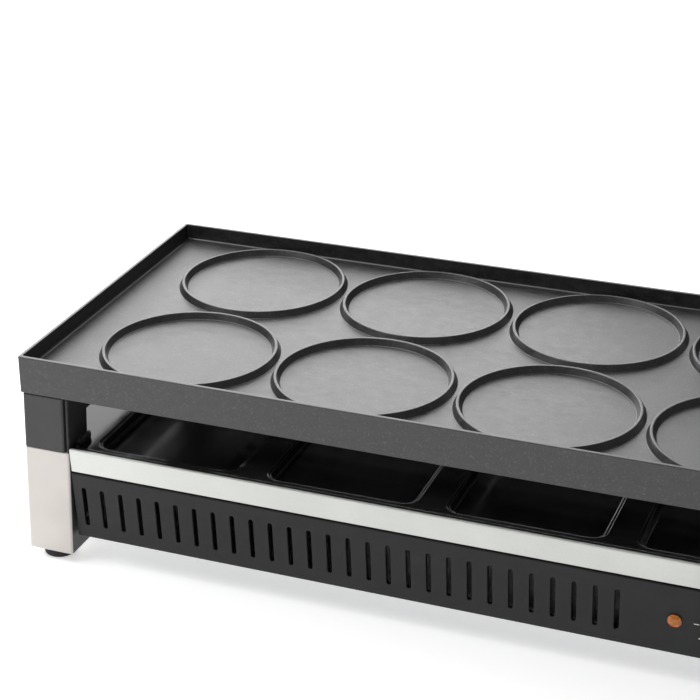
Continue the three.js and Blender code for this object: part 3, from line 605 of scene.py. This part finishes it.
def corner_block(corner, sx, sy):
    """A block with the spigot that the plate sits over and a collar at its inner foot."""
    skin = Skin()
    body = rounded_ends(BLOCK_BOTTOM, COLUMN_TOP, 0.5, 1.1)
    outlines = column_outlines(sx, sy, COLUMN_HALF, body)
    tenon = [(0, COLUMN_TOP)] + [(i, BLOCK_TOP - a) for i, a in list(quarter_round(1.0))[::-1]]
    outlines += column_outlines(sx, sy, SPIGOT_HALF, tenon, SPIGOT_CENTRE, 2.0)
    skin.stack(outlines)
    block = skin.make("block_" + corner, "dark_plastic")
    collar = Skin()
    middle = [sign * (a + b) / 2 for sign, a, b in zip((sx, sy), COLLAR_INNER, COLLAR_OUTER)]
    half = [(b - a) / 2 for a, b in zip(COLLAR_INNER, COLLAR_OUTER)]
    outlines = []
    for inward, z in rounded_ends(BLOCK_BOTTOM + 0.05, COLLAR_TOP, 2.0, 2.0):
        inward = inward if z > (BLOCK_BOTTOM + COLLAR_TOP) / 2 else inward * 0.2
        outlines.append(rectangle(half[0] - inward, half[1] - inward, 4.5 - inward, z, middle))
    collar.stack(outlines)
    join(block, collar.make("collar_" + corner, "dark_plastic"))
    join(block, block_groove(corner, sx, sy), "DIFFERENCE")
    settle(block, "base", "dark_plastic", "corner_block_" + corner)


def leg(corner, sx, sy):
    skin = Skin()
    skin.stack(column_outlines(sx, sy, COLUMN_HALF, rounded_ends(LEG_LOW, LEG_HIGH, 0.6, 0.6)))
    piece = skin.make("post_" + corner, "silver_paint")
    settle(piece, "base", "silver_paint", "leg_" + corner)


def leg_shade_skin(corner, sx, sy):
    """A thin skin in the dark plastic look on the two sides of a leg that face the rails and vent panels.
    It is painted shade for the shadowed gap between the leg and the panel, not a real part.
    """
    x, y = COLUMN_HALF
    outer_x, outer_y = -x - SHADE_SKIN_THICKNESS, -y - SHADE_SKIN_THICKNESS
    end_x, end_y = x - SHADE_SKIN_MARGIN, y - SHADE_SKIN_MARGIN
    section = [(outer_x, end_y), (-x, end_y), (-x, -y), (end_x, -y), (end_x, outer_y), (outer_x, outer_y)]
    outlines = []
    for z in (LEG_LOW + SHADE_SKIN_END, LEG_HIGH - SHADE_SKIN_END):
        shift = COLUMN_X + COLUMN_SPLAY * (COLUMN_TOP - z)
        outlines.append([(sx * (shift + u), sy * (COLUMN_Y + v), z) for u, v in section])
    skin = Skin()
    skin.stack(outlines)
    settle(skin.make("post_shade_skin_" + corner, "dark_plastic"), "base", "dark_plastic")


def foot(corner, sx, sy):
    """A rubber foot: rounded rim and a shallow recess underneath."""
    skin = Skin()
    centre = (sx * (COLUMN_X + COLUMN_SPLAY * COLUMN_TOP), sy * COLUMN_Y)
    points = [
        (0.5, 0.8),
        (FOOT_RADIUS - 3.5, 0.8),
        (FOOT_RADIUS - 2.7, 0),
        (FOOT_RADIUS, 0),
        (FOOT_RADIUS, FOOT_HEIGHT),
        (1.0, FOOT_HEIGHT),
    ]
    profile = rounded(points, [0, 0.4, 0.4, 1.2, 0.5, 0], steps=4)
    skin.stack([circle(p.x, p.y, centre) for p in profile])
    settle(skin.make("foot_" + corner, "rubber"), "base", "rubber", "rubber_foot_" + corner)


# ---------------------------------------------------------------- deck
def bay_profile():
    """(distance out from the bay's edge, height): deck, stepped ledge for the pan, wall, floor."""
    floor = DECK_Z - BAY_DEPTH
    points = [
        (BAY_LEDGE + BAY_MARGIN, DECK_Z),
        (BAY_LEDGE, DECK_Z),
        (BAY_LEDGE - 0.3, DECK_Z - BAY_STEP),
        (0, DECK_Z - BAY_STEP),
        (-BAY_DRAFT, floor),
        (-BAY_FLOOR_EDGE, floor),
    ]
    return rounded(points, [0, 0.6, 0.1, 0.6, 2.0, 0], steps=8)


def rim_profile():
    """(distance in from the rail's outer line, height) of the deck's raised border and its hem."""
    points = [
        (DECK_SLOPE_END + 1.0, DECK_Z),
        (DECK_SLOPE_END, DECK_Z),
        (DECK_RIM_END, DECK_RIM_Z),
        (DECK_HEM, DECK_RIM_Z),
        (DECK_HEM, DECK_HEM_Z),
    ]
    return rounded(points, [0, 1.0, 0.9, 1.0, 0], steps=5)


def turned(x, y, turn):
    """A point of the front side carried round to side turn: 1 right, 2 back, 3 left."""
    for _ in range(turn):
        x, y = -y, x
    return x, y


def deck():
    """The enamelled sheet: eight bays, the element's two holes, and a raised border with a hem."""
    skin = Skin()
    x, y = END_OUTER - DECK_SLOPE_END - 1.0, LONG_OUTER - DECK_SLOPE_END - 1.0
    quarter = [(x, NOTCH[1]), NOTCH, (NOTCH[0], y)]
    plan = quarter + [(-px, py) for px, py in reversed(quarter)]
    plan += [(-px, -py) for px, py in plan]
    outer = skin.loop([(px, py, DECK_Z) for px, py in plan])
    holes = []
    for i in (-1.5, -0.5, 0.5, 1.5):
        for j in (-0.5, 0.5):
            outlines = []
            for p in bay_profile():
                half = BAY_HALF + p.x
                corner = BAY_CORNER + p.x
                centre = (i * BAY_PITCH, j * BAY_PITCH)
                outlines.append(rectangle(half, half, corner, p.y, centre, steps=10))
            holes.append(skin.stack(outlines, cap_start=False)[0])
    for side in (-1, 1):
        holes.append(skin.loop(circle(ELEMENT_HOLE, DECK_Z, (ELEMENT_END, side * ELEMENT_RUN), 24)))
    skin.fill([outer, *holes])
    for turn, outer_line, half in ((0, LONG_OUTER, NOTCH[0]), (1, END_OUTER, NOTCH[1])):
        for side in (turn, turn + 2):
            rows = []
            for p in rim_profile():
                ends = [turned(along, p.x - outer_line, side) for along in (-half, half)]
                rows.append(skin.loop([(ex, ey, p.y) for ex, ey in ends]))
            for first, second in zip(rows, rows[1:]):
                skin.band(first, second, closed=False)
    piece = skin.make("deck_pressing", "black_enamel")
    upward = sum(face.area * face.normal.z for face in piece.data.polygons)
    if upward < 0:
        piece.data.flip_normals()
    sheet = piece.modifiers.new("sheet", "SOLIDIFY")
    sheet.thickness = DECK_SHEET * MM
    sheet.offset = -1
    apply_modifiers(piece)
    settle(piece, "base", "black_enamel", "deck")


# ---------------------------------------------------------------- rails and vent panels
def side_mapping(turn, outer):
    """Takes (along, depth behind the leaning face, height) to the frame for one side."""

    def mapped(along, depth, z):
        inward = depth + (RAIL_TOP - z) * math.tan(SIDE_LEAN)
        return place(*turned(along, inward - outer, turn), z)

    return mapped


def bar_outlines(section, half, radius):
    """Loops of a bar along one side, its ends rounded; section is (depth, height)."""
    outlines = []
    for along, sign in ((-half, 1), (half, -1)):
        end = []
        for inward, distance in quarter_round(radius):
            end.append([(along + sign * distance, p.x, p.y) for p in inset(section, inward)])
        outlines += end if sign == 1 else end[::-1]
    return outlines


def rail(name, half, outer, turn):
    skin = Skin()
    corners = [(0, RAIL_BOTTOM), (RAIL_THICKNESS, RAIL_BOTTOM), (RAIL_THICKNESS, RAIL_TOP), (0, RAIL_TOP)]
    section = rounded(corners, [0.5, 0.4, 0.5, 0.8], steps=6, closed=True)
    skin.stack(bar_outlines(section, half, 0.35))
    piece = skin.make(name + "_strip", "silver_strip", side_mapping(turn, outer))
    settle(piece, "base", "silver_strip", name)


def slot_outline(x, grow, depth):
    """A slot with round ends, made larger all round by grow."""
    radius = SLOT_HALF_WIDTH + grow
    low, high = SLOT_BOTTOM + SLOT_HALF_WIDTH, SLOT_TOP - SLOT_HALF_WIDTH
    points = []
    for centre, start in ((high, 0), (low, math.pi)):
        for s in range(9):
            angle = start + math.pi * s / 8
            points.append((x + radius * math.cos(angle), depth, centre + radius * math.sin(angle)))
    return points


def hole_outline(shape, grow, depth):
    """A round or rectangular hole for a control or the inlet: (x, half width, half height, corner)."""
    x, half_x, half_z, corner = shape
    flat = rectangle(half_x + grow, half_z + grow, corner + grow, depth, (x, CONTROL_Z))
    return [(px, pz, py) for px, py, pz in flat]


def vent_panel(name, half, outer, turn, slots, holes=()):
    """A panel with its edges turned inward, cut through by a row of slots and by any holes."""
    skin = Skin()
    inner_low, inner_high = PANEL_BOTTOM + 2, PANEL_TOP - 2
    corners = [
        (0, PANEL_TOP),
        (0, PANEL_BOTTOM),
        (PANEL_FLANGE, PANEL_BOTTOM),
        (PANEL_FLANGE, inner_low),
        (PANEL_THICKNESS, inner_low),
        (PANEL_THICKNESS, inner_high),
        (PANEL_FLANGE, inner_high),
        (PANEL_FLANGE, PANEL_TOP),
    ]
    section = rounded(corners, [0.9, 1.0, 0.4, 0.4, 0.6, 0.6, 0.4, 0.4], steps=4, closed=True)
    loops = [skin.loop(points) for points in bar_outlines(section, half, 0.5)]
    skin.bm.faces.new(loops[0])
    skin.bm.faces.new(loops[-1])
    middle = len(loops) // 2 - 1
    shortest_web = PANEL_TOP - PANEL_BOTTOM - 10
    webs = []
    for k, (first, second) in enumerate(zip(loops, loops[1:])):
        for i in range(len(section)):
            j = (i + 1) % len(section)
            is_web = k == middle and (section[i] - section[j]).length > shortest_web
            if is_web:
                webs.append([first[i], first[j], second[j], second[i]])
            else:
                skin.bm.faces.new((first[i], first[j], second[j], second[i]))
    openings = [[], []]
    cutters = [lambda g, d, x=x: slot_outline(x, g, d) for x in slots]
    cutters += [lambda g, d, shape=shape: hole_outline(shape, g, d) for shape in holes]
    for cutter in cutters:
        edge = [cutter(grow, depth) for depth, grow in list(quarter_round(0.4))[::-1]]
        ends = skin.stack(edge + [cutter(0, PANEL_THICKNESS)], cap_start=False, cap_end=False)
        for group, loop in zip(openings, ends):
            group.append(loop)
    for web, group in zip(sorted(webs, key=lambda w: w[0].co.y), openings):
        skin.fill([web, *group], normal=(0, 1, 0))
    piece = skin.make(name + "_moulding", "vent_plastic", side_mapping(turn, outer))
    settle(piece, "base", "vent_plastic", name)


# ---------------------------------------------------------------- controls on the front panel
def panel_mapping(x, side=-1):
    """Takes a point made on the panel's own outward axis, +z, to the front or back panel's face."""
    outer = LONG_OUTER - (RAIL_TOP - CONTROL_Z) * math.tan(SIDE_LEAN)
    turn = Matrix.Rotation(-side * (math.pi / 2 + SIDE_LEAN), 3, "X")

    def mapped(px, py, pz):
        q = turn @ Vector((px, py, pz))
        return place(x + q.x, side * outer + q.y, CONTROL_Z + q.z)

    return mapped


def control_dial():
    """A fluted dial with a raised grip bar and a white pointer line."""
    flutes = 30
    steps = 8 * flutes

    def fluted(radius, z, share):
        points = []
        for i in range(steps):
            angle = 2 * math.pi * i / steps
            dip = share * 0.45 * (0.5 - 0.5 * math.cos(flutes * angle)) ** 2
            points.append(((radius - dip) * math.cos(angle), (radius - dip) * math.sin(angle), z))
        return points

    mapping = panel_mapping(CONTROL_X)
    skin = Skin()
    profile = rounded(
        [(2.0, 1.0), (DIAL_RADIUS, 1.0), (DIAL_RADIUS - 1.2, DIAL_BASE), (2.0, DIAL_BASE)],
        [0, 0.5, 1.0, 0],
        steps=5,
    )
    skin.stack([fluted(p.x, p.y, 1.0 if p.x > 10 else 0.0) for p in profile])
    base = skin.make("dial_moulding", "dark_plastic", mapping)
    grip = Skin()
    sides = [(0.6, DIAL_BASE - 1.0), (0, DIAL_BASE)]
    sides += [(0.9 + i, DIAL_TOP - a) for i, a in list(quarter_round(1.0, 5))[::-1]]
    grip.stack([rectangle(GRIP_HALF[0] - i, GRIP_HALF[1] - i, 3.3 - i, z) for i, z in sides])
    join(base, grip.make("grip", "dark_plastic", mapping))
    settle(base, "dial", "dark_plastic", "control_dial")
    line = Skin()
    edges = ((0.15, DIAL_TOP - 0.3), (0, DIAL_TOP), (0.15, DIAL_TOP + 0.12))
    half_x, half_y = POINTER_HALF
    line.stack([rectangle(half_x - i, half_y - i, 0.35 - i, z, (0, 7.6)) for i, z in edges])
    settle(line.make("dial_pointer", "print_white", mapping), "dial", None)


def dial_scale():
    """Printed ticks round the dial, longer at the off position and at the two ends."""
    skin = Skin()
    for i in range(10):
        angle = math.radians(90 - 30 * i)
        half = (1.5 if i in (0, 9) else 1.0, 0.28)
        outlines = []
        for z in (0.02, 0.14):
            flat = rectangle(*half, 0.2, z, (DIAL_RADIUS + 3.0, 0), steps=3)
            turn = Matrix.Rotation(angle, 3, "Z")
            outlines.append([turn @ Vector(p) for p in flat])
        skin.stack(outlines)
    settle(skin.make("dial_scale", "print_white", panel_mapping(CONTROL_X)), "base", None)


def pilot_lens():
    skin = Skin()
    rim = LENS_RADIUS + 1
    points = [(0.4, -5), (LENS_RADIUS, -5), (LENS_RADIUS, 0.3)]
    points += [(rim, 0.3), (rim, 1.0), (2.3, 2.0), (0.3, 2.2)]
    profile = rounded(points, [0, 0.3, 0.1, 0.1, 0.3, 0.6, 0], steps=4)
    skin.stack([circle(p.x, p.y) for p in profile])
    piece = skin.make("lens_moulding", "amber_lens", panel_mapping(LENS_X))
    settle(piece, "base", "amber_lens", "pilot_lens")


# ---------------------------------------------------------------- heating element
def tube(name, look, route, radius, sides=20):
    """A rod with closed ends along a route, its section carried along without twist."""
    skin = Skin()
    points = [Vector(p) for p in route]
    outlines = []
    across = None
    for i, here in enumerate(points):
        ahead = points[min(i + 1, len(points) - 1)] - here
        behind = here - points[max(i - 1, 0)]
        along = (ahead.normalized() + behind.normalized()).normalized()
        if across is None:
            across = along.orthogonal()
        across = (across - along * across.dot(along)).normalized()
        other = along.cross(across)
        turns = [2 * math.pi * k / sides for k in range(sides)]
        outlines.append([here + radius * (math.cos(a) * across + math.sin(a) * other) for a in turns])
    skin.stack(outlines)
    return skin.make(name, look)


def arc(centre, radius, start, end, steps, z):
    for s in range(steps + 1):
        angle = math.radians(start + (end - start) * s / steps)
        yield Vector((centre[0] + radius * math.cos(angle), centre[1] + radius * math.sin(angle), z))


def element_half(side):
    """Half the route: cold end, up, along the outer run, round, and back along the inner one."""
    turn = ELEMENT_RUN / 3
    y = side * ELEMENT_RUN
    route = [Vector((ELEMENT_END, y, ELEMENT_END_Z))]
    for s in range(9):
        angle = math.pi / 2 * s / 8
        x = ELEMENT_END - ELEMENT_BEND + ELEMENT_BEND * math.cos(angle)
        z = ELEMENT_Z - ELEMENT_BEND + ELEMENT_BEND * math.sin(angle)
        route.append(Vector((x, y, z)))
    route += arc((ELEMENT_LEFT, side * 2 * turn), turn, side * 90, side * 270, 24, ELEMENT_Z)
    route += arc((ELEMENT_RIGHT, 0), turn, side * 90, 0, 12, ELEMENT_Z)
    return route


def heating_element():
    route = element_half(-1) + element_half(1)[::-1][1:]
    piece = tube("element_tube", "element_steel", route, ELEMENT_RADIUS)
    settle(piece, "base", "element_steel", "heating_element")


# ---------------------------------------------------------------- nodes that keep their CAD shape
def finish_nodes():
    """Softens the edges of the nodes that stay, and gives each one its material."""
    slots = {row["node"]: row["material_slot"] for row in frame["record"]["subparts"]}
    widths = {"sheet_steel": 0.3, "zinc_steel": 0.2, "dark_plastic": 0.5, "ceramic": 0.6, "brass": 0.3}
    for name, node in frame["nodes"].items():
        slot = slots[name]
        node.data.materials.clear()
        node.data.materials.append(LOOKS[slot])
        weld = node.modifiers.new("weld", "WELD")
        weld.merge_threshold = 0.01 * MM
        if slot in widths:
            bevel = node.modifiers.new("edges", "BEVEL")
            bevel.width = widths[slot] * MM
            bevel.segments = 3
            bevel.limit_method = "ANGLE"
            bevel.angle_limit = math.radians(40)
            bevel.harden_normals = True
        node.data.shade_smooth()
        node.data.set_sharp_from_angle(angle=math.radians(40))


# ---------------------------------------------------------------- floor, light, camera
def studio_floor():
    mesh = bpy.data.meshes.new("studio_floor")
    reach = 12.0
    corners = [(-reach, -reach, 0), (reach, -reach, 0), (reach, reach, 0), (-reach, reach, 0)]
    mesh.from_pydata(corners, [], [(0, 1, 2, 3)])
    material, principled = shader("studio_floor", (0.9, 0.9, 0.9), 0.6)
    tone = noise(material, coordinates(material), 400.0, 2.0)
    shade = blend_colors(material, tone, (0.88, 0.88, 0.88), (0.92, 0.92, 0.92))
    link(material, shade, principled.inputs["Base Color"])
    principled.inputs["Emission Color"].default_value = (1, 1, 1, 1)
    principled.inputs["Emission Strength"].default_value = 0.42
    mesh.materials.append(material)
    floor = bpy.data.objects.new("studio_floor", mesh)
    bpy.context.scene.collection.objects.link(floor)


def softbox(name, position, target, size, radiance):
    """A rectangular light that shows in reflections but not to the camera."""
    light = bpy.data.lights.new(name, "AREA")
    light.shape = "RECTANGLE"
    light.size, light.size_y = size
    light.energy = radiance * math.pi * size[0] * size[1]
    lamp = bpy.data.objects.new(name, light)
    lamp.location = position
    lamp.rotation_mode = "QUATERNION"
    lamp.rotation_quaternion = (Vector(target) - Vector(position)).to_track_quat("-Z", "Y")
    lamp.visible_camera = False
    bpy.context.scene.collection.objects.link(lamp)


def studio_light():
    world = bpy.data.worlds.new("studio")
    world.use_nodes = True
    background = world.node_tree.nodes["Background"]
    background.inputs["Color"].default_value = (1, 1, 1, 1)
    background.inputs["Strength"].default_value = 0.22
    bpy.context.scene.world = world
    softbox("back_panel", (-1.0, 1.3, 1.3), (-0.2, 0.0, 0.1), (2.0, 2.2), 3.1)
    softbox("top_panel", (-0.75, -0.4, 1.3), (-0.3, -0.1, 0.0), (1.1, 1.4), 3.4)
    softbox("low_panel", (-1.1, 1.45, 0.25), (-0.4, 0.0, 0.1), (2.8, 0.4), 4.2)
    bpy.context.scene.view_settings.view_transform = "Standard"


def camera():
    """Above the front and to the right, looking down along the plate towards its left back."""
    level = math.cos(CAMERA_PITCH)
    across, ahead = math.cos(CAMERA_YAW), math.sin(CAMERA_YAW)
    forward = Vector((-ahead * level, across * level, -math.sin(CAMERA_PITCH)))
    right = Vector((across, ahead, 0))
    up = right.cross(forward)
    turn = Matrix((right, up, -forward)).transposed() @ Matrix.Rotation(CAMERA_ROLL, 3, "Z")
    data = bpy.data.cameras.new("camera")
    data.sensor_width = 36
    data.lens = CAMERA_LENS
    eye = bpy.data.objects.new("camera", data)
    eye.matrix_world = Matrix.Translation(place(*CAMERA_PLACE)) @ turn.to_4x4()
    bpy.context.scene.collection.objects.link(eye)
    bpy.context.scene.camera = eye


# ---------------------------------------------------------------- the whole
camera()
studio_floor()
studio_light()
finish_nodes()
griddle_plate()
for corner, (sx, sy) in CORNERS.items():
    corner_block(corner, sx, sy)
    leg(corner, sx, sy)
    # The dark skins on the legs are painted shade, not real parts.
    leg_shade_skin(corner, sx, sy)
    foot(corner, sx, sy)
deck()
rail("front_rail", RAIL_HALF_LONG, LONG_OUTER, 0)
rail("right_rail", HALF_END, END_OUTER, 1)
rail("back_rail", RAIL_HALF_LONG, LONG_OUTER, 2)
rail("left_rail", HALF_END, END_OUTER, 3)
control_holes = [
    (x, radius, radius, radius - 0.05) for x, radius in ((CONTROL_X, SPINDLE_HOLE), (LENS_X, LENS_HOLE))
]
vent_panel("front_vent_panel", PANEL_HALF_LONG, LONG_OUTER, 0, LONG_SLOTS, control_holes)
vent_panel("right_vent_panel", HALF_END, END_OUTER, 1, END_SLOTS)
inlet_holes = [(-CONTROL_X, *INLET_HALF, 0.5)]
vent_panel("back_vent_panel", PANEL_HALF_LONG, LONG_OUTER, 2, LONG_SLOTS, inlet_holes)
vent_panel("left_vent_panel", HALF_END, END_OUTER, 3, END_SLOTS)
control_dial()
dial_scale()
pilot_lens()
heating_element()
